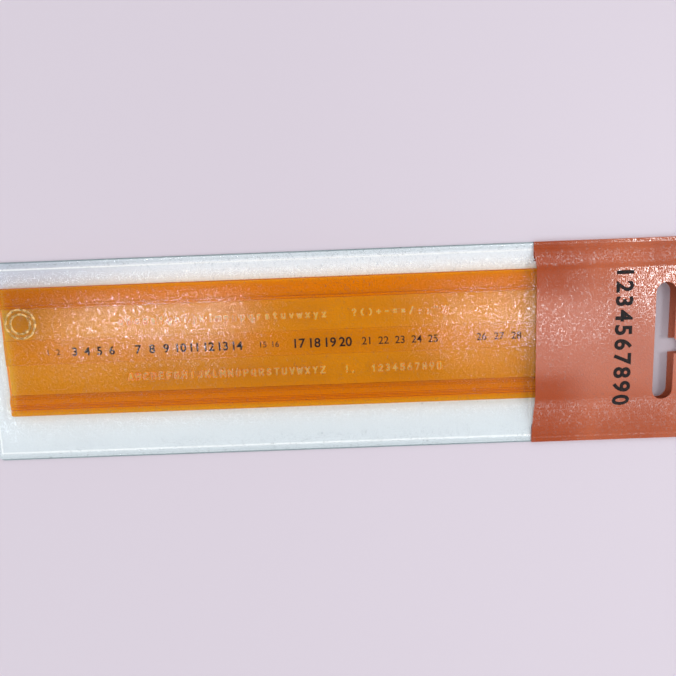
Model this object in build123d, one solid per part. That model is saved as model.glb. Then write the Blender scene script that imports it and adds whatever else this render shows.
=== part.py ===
"""Lettering stencil in its hanging vinyl wallet, in millimetres.

The stencil is one stiff plate: two thick edge rails, two thin fields with the alphabet milled right
through them, and a middle band. It lies in a flat sleeve of two films welded along three edges. Two
coloured leaves carry the sleeve's open end and its hang slot, and the plate slides out between them.

+X runs to the hanging end, +Y across to the lower-case row, +Z up out of the front of the wallet.
The origin is the centre of the wallet's underside.
"""

import os
from math import atan2, degrees, hypot

from build123d import *

# Stencil plate
plate_length = 166.0
plate_width = 38.2
plate_corner_radius = 0.6
rail_width = 6.0
rail_thickness = 2.2
edge_chamfer = 0.35
band_width = 7.2
band_thickness = 1.4
field_thickness = 1.0
ledge_width = 0.8
ledge_drop = 0.35
groove_width = 0.3
groove_depth = 0.25
outer_groove_inset = 2.0
inner_groove_inset = 2.9

# Lettering
letter_height = 2.0
pen_line_width = 0.2
letter_slot_width = 0.52
end_flat_share = 0.29
web_width = 0.28
capital_pitch = 2.285
small_letter_pitch = 2.385
stop_pitch = 1.8
digit_pitch = 2.165
capitals_inset = 36.4
small_letters_inset = 34.9
stops_gap = 7.1
digits_gap = 6.0
marks_gap = 8.8

# Wallet
upper_margin = 7.5
lower_margin = 14.3
end_margin = 8.0
plate_lap = 10.1
header_length = 50.1
wallet_corner_radius = 3.0
film_thickness = 0.2
leaf_thickness = 0.3
seam_width = 1.5
film_lap = 5.0
joggle_length = 1.0
tongue_inset = 4.0
drape_sag_share = 0.17

# Running room of the plate in the sleeve
height_clearance = 0.1
side_clearance = 0.6

# Hang slot
slot_length = 34.5
slot_width = 5.9
slot_inset = 12.9
notch_width = 4.1
notch_depth = 3.2
notch_offset = 1.6

overrun = 1.0

# Levels, counted up from the table
tongue_top = leaf_thickness + film_thickness
plate_bottom = tongue_top + height_clearance
plate_middle = plate_bottom + rail_thickness / 2
sleeve_height = plate_bottom + rail_thickness + height_clearance

# Places along and across the wallet, from the origin at its middle
wallet_length = end_margin + plate_length - plate_lap + header_length
wallet_width = upper_margin + plate_width + lower_margin
closed_end = -wallet_length / 2
mouth_end = wallet_length / 2
header_start = mouth_end - header_length
lap_end = header_start + film_lap
plate_start = closed_end + end_margin
plate_centre = plate_start + plate_length / 2
plate_offset = (lower_margin - upper_margin) / 2
half_width = wallet_width / 2
seam_edge = half_width - seam_width
tongue_edge = seam_edge - tongue_inset
field_centre = (plate_width / 2 - rail_width + band_width / 2) / 2

# Strokes are shares of the capital height along their centre lines: four numbers are a straight run
# from point to point, five an arc of centre, radius, start angle and sweep. A web is a bridge of
# plastic across a stroke, which holds the middle of a closed letter.
LEFT_BOWL_SHARES = [(.25, .43, .25, 0, 180), (0, .43, 0, .25), (.25, .25, .25, 180, 180)]
RIGHT_BOWL_SHARES = [(.25, .43, .25, 0, 180), (.5, .43, .5, .25), (.25, .25, .25, 180, 180)]
CAPITAL_C_SHARES = [(.3, .7, .3, 30, 150), (0, .7, 0, .3), (.3, .3, .3, 180, 150)]
CAPITAL_O_SHARES = [(.3, .7, .3, 0, 180), (0, .7, 0, .3), (.3, .3, .3, 180, 180), (.6, .3, .6, .7)]
CAPITAL_P_SHARES = [(0, 0, 0, 1), (0, 1, .3, 1), (.3, .72, .28, -90, 180), (.3, .44, 0, .44)]

CAPITAL_SHARES = {
    "A": [(0, 0, .3, 1), (.3, 1, .6, 0), (.1, .33, .5, .33)],
    "B": [(0, 0, 0, 1), (0, 1, .3, 1), (.3, .75, .25, -90, 180), (0, .5, .3, .5),
          (.3, .25, .25, -90, 180), (.3, 0, 0, 0)],
    "C": CAPITAL_C_SHARES,
    "D": [(0, 0, 0, 1), (0, 1, .3, 1), (.3, .7, .3, 0, 90), (.6, .7, .6, .3),
          (.3, .3, .3, -90, 90), (.3, 0, 0, 0)],
    "E": [(0, 0, 0, 1), (0, 1, .5, 1), (0, .5, .45, .5), (0, 0, .5, 0)],
    "F": [(0, 0, 0, 1), (0, 1, .5, 1), (0, .5, .45, .5)],
    "G": [(.3, .7, .3, 30, 150), (0, .7, 0, .3), (.3, .3, .3, 180, 180), (.6, .3, .6, .45),
          (.6, .45, .38, .45)],
    "H": [(0, 0, 0, 1), (.6, 0, .6, 1), (0, .5, .6, .5)],
    "I": [(.3, 0, .3, 1)],
    "J": [(.5, 1, .5, .25), (.25, .25, .25, -150, 150)],
    "K": [(0, 0, 0, 1), (0, .38, .55, 1), (.2, .6, .6, 0)],
    "L": [(0, 1, 0, 0), (0, 0, .5, 0)],
    "M": [(0, 0, 0, 1), (0, 1, .35, .35), (.35, .35, .7, 1), (.7, 1, .7, 0)],
    "N": [(0, 0, 0, 1), (0, 1, .6, 0), (.6, 0, .6, 1)],
    "O": CAPITAL_O_SHARES,
    "P": CAPITAL_P_SHARES,
    "Q": CAPITAL_O_SHARES + [(.36, .28, .62, -.06)],
    "R": CAPITAL_P_SHARES + [(.3, .44, .6, 0)],
    "S": [(.3, .75, .25, 20, 250), (.3, .25, .25, -160, 250)],
    "T": [(0, 1, .6, 1), (.3, 1, .3, 0)],
    "U": [(0, 1, 0, .3), (.3, .3, .3, 180, 180), (.6, .3, .6, 1)],
    "V": [(0, 1, .3, 0), (.3, 0, .6, 1)],
    "W": [(0, 1, .2, 0), (.2, 0, .4, .8), (.4, .8, .6, 0), (.6, 0, .8, 1)],
    "X": [(0, 0, .6, 1), (0, 1, .6, 0)],
    "Y": [(0, 1, .3, .5), (.6, 1, .3, .5), (.3, .5, .3, 0)],
    "Z": [(0, 1, .6, 1), (.6, 1, 0, 0), (0, 0, .6, 0)],
}
SMALL_LETTER_SHARES = {
    "a": LEFT_BOWL_SHARES + [(.5, .68, .5, 0)],
    "b": RIGHT_BOWL_SHARES + [(0, 1, 0, 0)],
    "c": [(.25, .43, .25, 30, 150), (0, .43, 0, .25), (.25, .25, .25, 180, 150)],
    "d": LEFT_BOWL_SHARES + [(.5, 1, .5, 0)],
    "e": [(.25, .43, .25, 0, 180), (0, .43, 0, .25), (.25, .25, .25, 180, 150), (0, .36, .5, .36)],
    "f": [(.15, 0, .15, .8), (.35, .8, .2, 90, 90), (0, .62, .35, .62)],
    "g": LEFT_BOWL_SHARES + [(.5, .68, .5, -.1), (.25, -.1, .25, -150, 150)],
    "h": [(0, 0, 0, 1), (.25, .43, .25, 0, 180), (.5, .43, .5, 0)],
    "i": [(.1, 0, .1, .6), (.1, .96, .1, 1)],
    "j": [(.25, .6, .25, -.1), (.05, -.1, .2, -90, 90), (.25, .96, .25, 1)],
    "k": [(0, 0, 0, 1), (0, .25, .42, .66), (.16, .4, .48, 0)],
    "l": [(.1, 0, .1, 1)],
    "m": [(0, 0, 0, .68), (.2, .48, .2, 0, 180), (.4, .48, .4, 0), (.6, .48, .2, 0, 180),
          (.8, .48, .8, 0)],
    "n": [(0, 0, 0, .68), (.25, .43, .25, 0, 180), (.5, .43, .5, 0)],
    "o": LEFT_BOWL_SHARES + [(.5, .43, .5, .25)],
    "p": RIGHT_BOWL_SHARES + [(0, .68, 0, -.32)],
    "q": LEFT_BOWL_SHARES + [(.5, .68, .5, -.32)],
    "r": [(0, 0, 0, .68), (.22, .46, .22, 60, 120)],
    "s": [(.22, .51, .17, 20, 250), (.22, .17, .17, -160, 250)],
    "t": [(.15, .95, .15, .2), (.35, .2, .2, 180, 90), (0, .66, .38, .66)],
    "u": [(0, .68, 0, .25), (.25, .25, .25, 180, 180), (.5, .68, .5, 0)],
    "v": [(0, .66, .24, 0), (.24, 0, .48, .66)],
    "w": [(0, .66, .18, 0), (.18, 0, .36, .6), (.36, .6, .54, 0), (.54, 0, .72, .66)],
    "x": [(0, 0, .48, .66), (0, .66, .48, 0)],
    "y": [(0, .66, .26, .04), (.48, .66, .14, -.3)],
    "z": [(0, .66, .46, .66), (.46, .66, 0, 0), (0, 0, .46, 0)],
}
DIGIT_SHARES = {
    "1": [(.1, .75, .35, 1), (.35, 1, .35, 0)],
    "2": [(.3, .72, .28, -30, 190), (.54, .58, 0, 0), (0, 0, .58, 0)],
    "3": [(.27, .75, .25, -90, 230), (.27, .25, .25, -140, 230)],
    "4": [(.4, 1, 0, .3), (0, .3, .6, .3), (.4, .6, .4, 0)],
    "5": [(.52, 1, .08, 1), (.08, 1, .06, .56), (.27, .3, .3, -150, 280)],
    "6": [(.3, .28, .28, 0, 360), (.04, .38, .38, 1)],
    "7": [(0, 1, .55, 1), (.55, 1, .2, 0)],
    "8": [(.3, .76, .24, 0, 360), (.3, .26, .26, 0, 360)],
    "9": [(.3, .72, .28, 0, 360), (.56, .62, .22, 0)],
    "0": [(.28, .72, .28, 0, 180), (0, .72, 0, .28), (.28, .28, .28, 180, 180), (.56, .28, .56, .72)],
}
STOP_SHARES = {
    "!": [(.1, .35, .1, 1), (.1, 0, .1, .04)],
    ",": [(.12, .06, .04, -.12)],
}
MARK_SHARES = {
    "question": [(.25, .75, .25, -40, 200), (.42, .58, .25, .38), (.25, 0, .25, .04)],
    "left_bracket": [(.72, .5, .6, 125, 110)],
    "right_bracket": [(-.32, .5, .6, -55, 110)],
    "plus": [(0, .5, .5, .5), (.25, .25, .25, .75)],
    "minus": [(0, .5, .4, .5)],
    "equals": [(0, .32, .45, .32), (0, .7, .45, .7)],
    "times": [(.05, .3, .4, .65), (.05, .65, .4, .3)],
    "slash": [(0, 0, .42, 1)],
    "colon": [(.1, 0, .1, .04), (.1, .5, .1, .54)],
    "semicolon": [(.12, .06, .04, -.12), (.12, .5, .12, .54)],
    "quotes": [(0, .8, 0, 1), (.4, .8, .4, 1)],
    "percent": [(0, 0, .5, 1), (.02, .9, .02, .94), (.48, .06, .48, .1)],
}
WEB_SHARES = {
    "B": [(.15, 1), (.15, 0)], "D": [(.28, 1), (.28, 0)], "O": [(.3, 1), (.3, 0)],
    "P": [(.17, 1)], "Q": [(.3, 1), (.2, 0)], "R": [(.17, 1)],
    "a": [(.25, .68)], "b": [(.25, 0)], "d": [(.25, 0)], "g": [(.25, .68)],
    "o": [(.25, .68), (.25, 0)], "p": [(.25, .68)], "q": [(.25, .68)],
    "6": [(.3, 0)], "8": [(.3, 1), (.3, 0)], "9": [(.3, 1)], "0": [(.28, 1), (.28, 0)],
}


def straight_slot(run):
    """Return a letter's slot along a straight run about the origin, its ends rounded in three flats."""
    bar = Rectangle(run + letter_slot_width, letter_slot_width)
    return chamfer(bar.vertices(), end_flat_share * letter_slot_width)


def arc_slot(radius, start, sweep):
    """Return a letter's slot along an arc about the origin, its ends rounded as a straight slot's."""
    outside = Circle(radius + letter_slot_width / 2)
    ring = outside - Circle(radius - letter_slot_width / 2)
    if sweep == 360:
        return ring
    inner_arc = CenterArc((0, 0), radius - letter_slot_width / 2, start, sweep)
    outer_arc = CenterArc((0, 0), radius + letter_slot_width / 2, start, sweep)
    band = make_face([inner_arc, outer_arc, Line(inner_arc @ 0, outer_arc @ 0),
                      Line(inner_arc @ 1, outer_arc @ 1)])
    tip = RegularPolygon(letter_slot_width / 2, 8, major_radius=False, rotation=180 / 8)
    return band + [Rot(0, 0, angle) * Pos(radius, 0) * tip for angle in (start, start + sweep)]


def stroke_face(stroke, height):
    """Return the slot that one stroke of a letter leaves in the plate."""
    if len(stroke) == 4:
        x_start, y_start, x_end, y_end = [share * height for share in stroke]
        run = hypot(x_end - x_start, y_end - y_start)
        angle = degrees(atan2(y_end - y_start, x_end - x_start))
        middle = Pos((x_start + x_end) / 2, (y_start + y_end) / 2)
        return middle * Rot(0, 0, angle) * straight_slot(run)
    x_centre, y_centre, radius = [share * height for share in stroke[:3]]
    return Pos(x_centre, y_centre) * arc_slot(radius, *stroke[3:])


def letter_cutter(name, strokes, height):
    """Return the through-cut of one letter, from its baseline, with its webs left standing."""
    shape = Sketch() + [stroke_face(stroke, height) for stroke in strokes]
    for x_share, y_share in WEB_SHARES.get(name, []):
        web = Rectangle(web_width, letter_slot_width + web_width)
        shape -= Pos(x_share * height, y_share * height) * web
    outlines = [Face(face.outer_wire()) for face in shape.faces()]
    return extrude(Sketch() + outlines, amount=rail_thickness, both=True)


def letter_row(letters, inset, pitch, row_y):
    """Return the cutters of a row of letters, the first one inset from the plate's closed end."""
    height = letter_height - pen_line_width
    cutters = []
    for index, (name, strokes) in enumerate(letters.items()):
        cutter = letter_cutter(name, strokes, height)
        along = inset - plate_length / 2 + index * pitch - cutter.bounding_box().center().X
        cutters.append(Pos(along, row_y - height / 2) * cutter)
    return cutters


def row_end(letters, inset, pitch):
    """Return the inset of the last letter of a row."""
    return inset + (len(letters) - 1) * pitch


def plate_section():
    """Return the plate's cross-section, centred on its middle, with the front face up."""
    edge = plate_width / 2
    rail_top = rail_thickness / 2
    band_edge = band_width / 2
    rail_edge = edge - rail_width
    front = [(0, band_thickness / 2), (band_edge, band_thickness / 2), (band_edge, field_thickness / 2),
             (rail_edge, field_thickness / 2), (rail_edge, rail_top - ledge_drop),
             (rail_edge + ledge_width, rail_top - ledge_drop), (rail_edge + ledge_width, rail_top)]
    for inset in (inner_groove_inset, outer_groove_inset):
        groove_start = edge - inset - groove_width / 2
        groove_end = groove_start + groove_width
        front += [(groove_start, rail_top), (groove_start, rail_top - groove_depth),
                  (groove_end, rail_top - groove_depth), (groove_end, rail_top)]
    front += [(edge - edge_chamfer, rail_top), (edge, rail_top - edge_chamfer)]
    back = [(edge, edge_chamfer - rail_top), (edge - edge_chamfer, -rail_top), (rail_edge, -rail_top),
            (rail_edge, -field_thickness / 2), (band_edge, -field_thickness / 2),
            (band_edge, -band_thickness / 2), (0, -band_thickness / 2)]
    half = make_face(Polyline(*front, *back, close=True))
    return half + mirror(half, Plane.YZ)


def make_plate():
    """Return the stencil plate where it lies in the sleeve."""
    bar = extrude(Plane.YZ * plate_section(), amount=plate_length / 2, both=True)
    outline = RectangleRounded(plate_length, plate_width, plate_corner_radius)
    bar &= extrude(outline, amount=rail_thickness, both=True)
    marks_inset = row_end(SMALL_LETTER_SHARES, small_letters_inset, small_letter_pitch) + marks_gap
    stops_inset = row_end(CAPITAL_SHARES, capitals_inset, capital_pitch) + stops_gap
    digits_inset = row_end(STOP_SHARES, stops_inset, stop_pitch) + digits_gap
    cutters = letter_row(SMALL_LETTER_SHARES, small_letters_inset, small_letter_pitch, field_centre)
    cutters += letter_row(MARK_SHARES, marks_inset, small_letter_pitch, field_centre)
    cutters += letter_row(CAPITAL_SHARES, capitals_inset, capital_pitch, -field_centre)
    cutters += letter_row(STOP_SHARES, stops_inset, stop_pitch, -field_centre)
    cutters += letter_row(DIGIT_SHARES, digits_inset, digit_pitch, -field_centre)
    return Pos(plate_centre, plate_offset, plate_middle) * (bar - cutters)


def drape_line(near, far, top, base):
    """Return the arc of a film that hangs from a crest at near down to its seam at far."""
    sag = drape_sag_share * (top - base)
    middle = ((near + far) / 2, (top + base) / 2 - sag)
    return ThreePointArc((near, top), middle, (far, base))


def sleeve_space(floor, base, crown):
    """Return the space under a film that covers the plate, open past the mouth.

    It stands on floor, leaves the seams at base and is crown high over the plate.
    """
    crest = plate_width / 2 + side_clearance
    low_crest = plate_offset - crest
    high_crest = plate_offset + crest
    across = make_face([
        Polyline((-seam_edge, base), (-seam_edge, floor), (seam_edge, floor), (seam_edge, base)),
        drape_line(high_crest, seam_edge, crown, base),
        Line((high_crest, crown), (low_crest, crown)),
        drape_line(low_crest, -seam_edge, crown, base),
    ])
    end_crest = plate_start - side_clearance
    end_seam = closed_end + seam_width
    past_mouth = mouth_end + overrun
    along = make_face([
        Polyline((end_crest, crown), (past_mouth, crown), (past_mouth, floor), (end_seam, floor),
                 (end_seam, base)),
        drape_line(end_crest, end_seam, crown, base),
    ])
    tunnel = Plane.YZ * across
    return extrude(tunnel, amount=past_mouth - closed_end, both=True) & extrude(
        Plane.XZ * along, amount=wallet_width, both=True)


def sheet(start, end, low, high, half_span):
    """Return a flat sheet between two places along the wallet and two levels."""
    return Pos((start + end) / 2, 0, (low + high) / 2) * Box(end - start, 2 * half_span, high - low)


def round_corners(shape):
    """Trim a film or leaf to the wallet's rounded outline."""
    outline = RectangleRounded(mouth_end - closed_end, wallet_width, wallet_corner_radius)
    return shape & extrude(outline, amount=sleeve_height + leaf_thickness + overrun)


def make_front_film():
    """Return the clear film over the plate, with its seams on the back film."""
    rim_top = 2 * film_thickness
    rim = sheet(closed_end, header_start, film_thickness, rim_top, half_width)
    skin = rim + (sleeve_space(film_thickness, rim_top, sleeve_height + film_thickness)
                  & sheet(closed_end, lap_end, film_thickness, sleeve_height + overrun, half_width))
    skin -= sleeve_space(0, film_thickness, sleeve_height)
    skin -= sheet(header_start, lap_end, film_thickness, tongue_top, half_width)
    return round_corners(skin)


def make_back_film():
    """Return the pale film under the plate, whose tongue steps up on to the back leaf."""
    film = sheet(closed_end, header_start, 0, film_thickness, half_width)
    step_start = header_start - joggle_length
    film -= sheet(step_start, header_start, 0, film_thickness, tongue_edge)
    profile = Polyline((step_start, 0), (header_start, leaf_thickness), (lap_end, leaf_thickness),
                       (lap_end, tongue_top), (header_start, tongue_top),
                       (step_start, film_thickness), close=True)
    tongue = extrude(Plane.XZ * make_face(profile), amount=tongue_edge, both=True)
    return round_corners(film + tongue)


def hang_slot():
    """Return the cutter of the hang slot, with its peg notch towards the mouth."""
    slot = Rot(0, 0, 90) * SlotOverall(slot_length, slot_width)
    notch_reach = slot_width / 2 + notch_depth
    notch = Pos(notch_reach / 2, -notch_offset) * SlotOverall(notch_reach + notch_width / 2, notch_width)
    cutter = extrude(slot + notch, amount=sleeve_height + overrun, both=True)
    return Pos(mouth_end - slot_inset, 0, 0) * cutter


def make_front_leaf():
    """Return the coloured leaf over the film's end, with its seams on the back leaf."""
    seam_top = 2 * leaf_thickness
    film_top = sleeve_height + film_thickness
    reach = sheet(header_start, mouth_end, leaf_thickness, film_top + overrun, half_width)
    rim = sheet(header_start, mouth_end, leaf_thickness, seam_top, half_width)
    skin = rim + (sleeve_space(leaf_thickness, seam_top, film_top + leaf_thickness) & reach)
    skin -= sleeve_space(0, 2 * film_thickness, film_top)
    return round_corners(skin) - hang_slot()


def make_back_leaf():
    """Return the flat coloured leaf under the header."""
    leaf = sheet(header_start, mouth_end, 0, leaf_thickness, half_width)
    return round_corners(leaf) - hang_slot()


pieces = {
    "stencil_plate": make_plate(),
    "wallet_front_film": make_front_film(),
    "wallet_back_film": make_back_film(),
    "header_front_leaf": make_front_leaf(),
    "header_back_leaf": make_back_leaf(),
}
os.makedirs("parts", exist_ok=True)
for node, piece in pieces.items():
    export_step(piece, f"parts/{node}.step")
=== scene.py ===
"""Looks of the lettering stencil in its hanging vinyl wallet, in metres.

The orange plate keeps its CAD solid and gets its plastic, its printed count and its moulded rings.
The clear film, the pale film and the two header leaves are laid again as thin grained vinyl, with
the drape, welds and swells that the soft wallet has over the plate.
"""

import logging
import math
from abc import ABC, abstractmethod
from dataclasses import dataclass
from enum import Enum
from typing import Callable, ClassVar

import bpy
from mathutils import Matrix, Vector


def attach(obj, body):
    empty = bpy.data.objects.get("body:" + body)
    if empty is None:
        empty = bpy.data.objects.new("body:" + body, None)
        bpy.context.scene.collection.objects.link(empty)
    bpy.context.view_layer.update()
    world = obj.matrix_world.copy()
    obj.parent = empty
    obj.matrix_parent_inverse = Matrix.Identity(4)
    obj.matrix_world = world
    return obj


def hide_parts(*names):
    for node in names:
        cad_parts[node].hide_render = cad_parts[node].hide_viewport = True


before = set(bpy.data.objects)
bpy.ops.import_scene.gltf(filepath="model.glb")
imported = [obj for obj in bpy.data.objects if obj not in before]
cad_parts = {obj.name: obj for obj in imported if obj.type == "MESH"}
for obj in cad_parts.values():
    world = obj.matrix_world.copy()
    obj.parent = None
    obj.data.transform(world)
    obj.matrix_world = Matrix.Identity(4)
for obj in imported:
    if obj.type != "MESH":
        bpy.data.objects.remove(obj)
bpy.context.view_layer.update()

MM = 0.001
HAIR = 0.01 * MM  # a tolerance too small to see
MERGE = 0.002 * MM  # points closer than this become one
SMOOTH_DEGREES = 50.0  # edges sharper than this stay sharp
DIGIT_SHARE = 0.729  # height of the built-in font's digits over its size
CLOSED_END, MOUTH_END = -1, 1  # signs of x at the wallet's two ends

Colour = tuple[float, float, float, float]
Level = Callable[[float, float], float]
Test = Callable[[Vector], bool]


class Body(Enum):
    """The bodies that pieces ride on."""

    WALLET = "wallet"
    STENCIL = "stencil"


class Slot(Enum):
    """The record's material slots."""

    ORANGE_PLASTIC = "orange_plastic"
    CLEAR_FILM = "clear_film"
    PALE_FILM = "pale_film"
    SALMON_VINYL = "salmon_vinyl"
    BLACK_INK = "black_ink"


def seen(red: int, green: int, blue: int) -> Colour:
    """Return the linear colour that a screen's usual curve shows as these values.

    Args:
        red: Red from 0 to 255.
        green: Green from 0 to 255.
        blue: Blue from 0 to 255.

    Returns:
        The colour, solid.
    """
    parts = [((part / 255 + 0.055) / 1.055) ** 2.4 for part in (red, green, blue)]
    return (parts[0], parts[1], parts[2], 1.0)


class Signal:
    """A shader socket that Python's operators work on."""

    def __init__(self, sheet: "NodeSheet", socket: bpy.types.NodeSocket) -> None:
        """Keep the socket and the sheet of nodes that it is on."""
        self.sheet = sheet
        self.socket = socket

    def _math(self, operation: str, first: "Signal | float", second: "Signal | float") -> "Signal":
        """Return a Math node's result.

        Args:
            operation: The Math node's operation.
            first: The first operand.
            second: The second operand.

        Returns:
            The node's output.
        """
        return self.sheet.add("ShaderNodeMath", {"operation": operation}, {0: first, 1: second})

    def __add__(self, other: "Signal | float") -> "Signal":
        """Return self + other."""
        return self._math("ADD", self, other)

    def __radd__(self, other: float) -> "Signal":
        """Return other + self."""
        return self._math("ADD", other, self)

    def __sub__(self, other: "Signal | float") -> "Signal":
        """Return self - other."""
        return self._math("SUBTRACT", self, other)

    def __rsub__(self, other: float) -> "Signal":
        """Return other - self."""
        return self._math("SUBTRACT", other, self)

    def __mul__(self, other: "Signal | float") -> "Signal":
        """Return self * other."""
        return self._math("MULTIPLY", self, other)

    def __rmul__(self, other: float) -> "Signal":
        """Return other * self."""
        return self._math("MULTIPLY", other, self)

    def __abs__(self) -> "Signal":
        """Return the value without its sign."""
        return self._math("ABSOLUTE", self, 0.0)

    def under(self, ceiling: "Signal | float") -> "Signal":
        """Return the value, held at or below a ceiling."""
        return self._math("MINIMUM", self, ceiling)


class NodeSheet:
    """The nodes of one material or world."""

    def __init__(self, owner: bpy.types.Material | bpy.types.World) -> None:
        """Start with no nodes on the owner."""
        owner.use_nodes = True
        self.tree = owner.node_tree
        self.tree.nodes.clear()

    def add(
        self,
        kind: str,
        settings: dict[str, object] | None = None,
        inputs: dict[int | str, object] | None = None,
        output: int | str = 0,
    ) -> Signal:
        """Add a node, set it up and link it.

        Args:
            kind: The node's type.
            settings: The node's own settings, which are set first.
            inputs: Values or signals by socket.
            output: The socket to hand back.

        Returns:
            The chosen output.
        """
        node = self.tree.nodes.new(kind)
        for name, value in (settings or {}).items():
            setattr(node, name, value)
        for key, value in (inputs or {}).items():
            if isinstance(value, Signal):
                self.tree.links.new(value.socket, node.inputs[key])
            else:
                node.inputs[key].default_value = value
        return Signal(self, node.outputs[output])

    def finish(self, kind: str, shader: Signal) -> None:
        """Add the output node of a kind and send a shader to it."""
        node = self.tree.nodes.new(kind)
        self.tree.links.new(shader.socket, node.inputs["Surface"])

    def place(self) -> Signal:
        """Return the point on the object."""
        return self.add("ShaderNodeTexCoord", output="Object")

    def axes(self, vector: Signal) -> list[Signal]:
        """Return a vector's three parts."""
        node = self.add("ShaderNodeSeparateXYZ", None, {0: vector}).socket.node
        return [Signal(self, part) for part in node.outputs]

    def stretched(self, vector: Signal, scale: tuple[float, float, float]) -> Signal:
        """Return a vector whose parts are each scaled."""
        return self.add("ShaderNodeVectorMath", {"operation": "MULTIPLY"}, {0: vector, 1: scale})

    def rise(self, value: Signal, low: float, high: float) -> Signal:
        """Return 0 below low, 1 above high and a smooth step between."""
        return self.add(
            "ShaderNodeMapRange",
            {"interpolation_type": "SMOOTHSTEP"},
            {0: value, 1: low, 2: high, 3: 0.0, 4: 1.0},
        )

    def line(self, value: Signal, middle: float, width: float) -> Signal:
        """Return 1 at middle, falling to 0 at half the width on each side."""
        return 1 - self.rise(abs(value - middle), 0.0, width / 2)

    def blend(
        self, share: Signal | float, first: Signal | Colour, second: Signal | Colour
    ) -> Signal:
        """Return a colour between two others, by the second one's share."""
        return self.add(
            "ShaderNodeMix", {"data_type": "RGBA"}, {0: share, 6: first, 7: second}, output=2
        )

    def noise(self, vector: Signal, size: float, detail: float) -> Signal:
        """Return soft noise, seen from above.

        Args:
            vector: Where the noise is read.
            size: About how wide its blotches are.
            detail: How many finer layers it has.

        Returns:
            The noise, from 0 to 1.
        """
        return self.add(
            "ShaderNodeTexNoise",
            {"noise_dimensions": "2D"},
            {"Vector": vector, "Scale": 1 / size, "Detail": detail},
        )

    def bump(self, height: Signal, depth: float) -> Signal:
        """Return the normal of a relief, where a height of 1 is depth."""
        return self.add(
            "ShaderNodeBump", None, {"Strength": 1.0, "Distance": depth, "Height": height}
        )

    def surface(self, inputs: dict[int | str, object]) -> Signal:
        """Return a Principled shader with these inputs."""
        return self.add("ShaderNodeBsdfPrincipled", None, inputs)

    def clear(self, tint: Colour) -> Signal:
        """Return a shader that light goes straight through, tinted."""
        return self.add("ShaderNodeBsdfTransparent", None, {"Color": tint})

    def mix(self, share: Signal, first: Signal, second: Signal) -> Signal:
        """Return a shader between two others, by the second one's share."""
        return self.add("ShaderNodeMixShader", None, {0: share, 1: first, 2: second})

    def mirror(self, index: float, most: float) -> Signal:
        """Return how much a smooth face mirrors.

        Args:
            index: The material's index of refraction.
            most: The ceiling, which a glancing face reaches.

        Returns:
            The share of mirrored light.
        """
        return self.add("ShaderNodeFresnel", None, {"IOR": index}).under(most)


@dataclass(frozen=True)
class Grain:
    """Embossed vinyl, a maze of fine soft ridges with glossy crests."""

    cell: float
    depth: float
    patch_cells: float = 4.5
    patch_height: float = 0.5
    squeeze: float = 0.6
    crest: tuple[float, float] = (0.005, 0.07)
    shine_cells: float = 3.0
    shine: tuple[float, float] = (0.36, 0.54)
    dullest: float = 0.6

    def relief(self, nodes: NodeSheet) -> Signal:
        """Return the bumped normal of the ridges and of the wider patches below them."""
        place = nodes.place()
        ridges = nodes.noise(place, self.cell, 1.0)
        patches = nodes.noise(place, self.patch_cells * self.cell, 2.0)
        return nodes.bump(ridges + self.patch_height * patches, self.depth)

    def threads(self, nodes: NodeSheet) -> Signal:
        """Return the glossy crests, 1 along the glossiest ones and 0 between them."""
        place = nodes.place()
        ridges = nodes.noise(nodes.stretched(place, (1.0, self.squeeze, 1.0)), self.cell, 0.0)
        patches = nodes.noise(place, self.shine_cells * self.cell, 1.0)
        crests = 1 - nodes.rise(abs(ridges - 0.5), *self.crest)
        return crests * (self.dullest + (1 - self.dullest) * nodes.rise(patches, *self.shine))


class Finish(ABC):
    """A procedural finish, which makes one material."""

    name: ClassVar[str]

    @abstractmethod
    def shade(self, nodes: NodeSheet) -> Signal:
        """Add the finish's nodes.

        Args:
            nodes: The material's nodes.

        Returns:
            The finish's shader.
        """

    def material(self) -> bpy.types.Material:
        """Return the finish as a new material."""
        material = bpy.data.materials.new(self.name)
        nodes = NodeSheet(material)
        nodes.finish("ShaderNodeOutputMaterial", self.shade(nodes))
        return material


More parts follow.
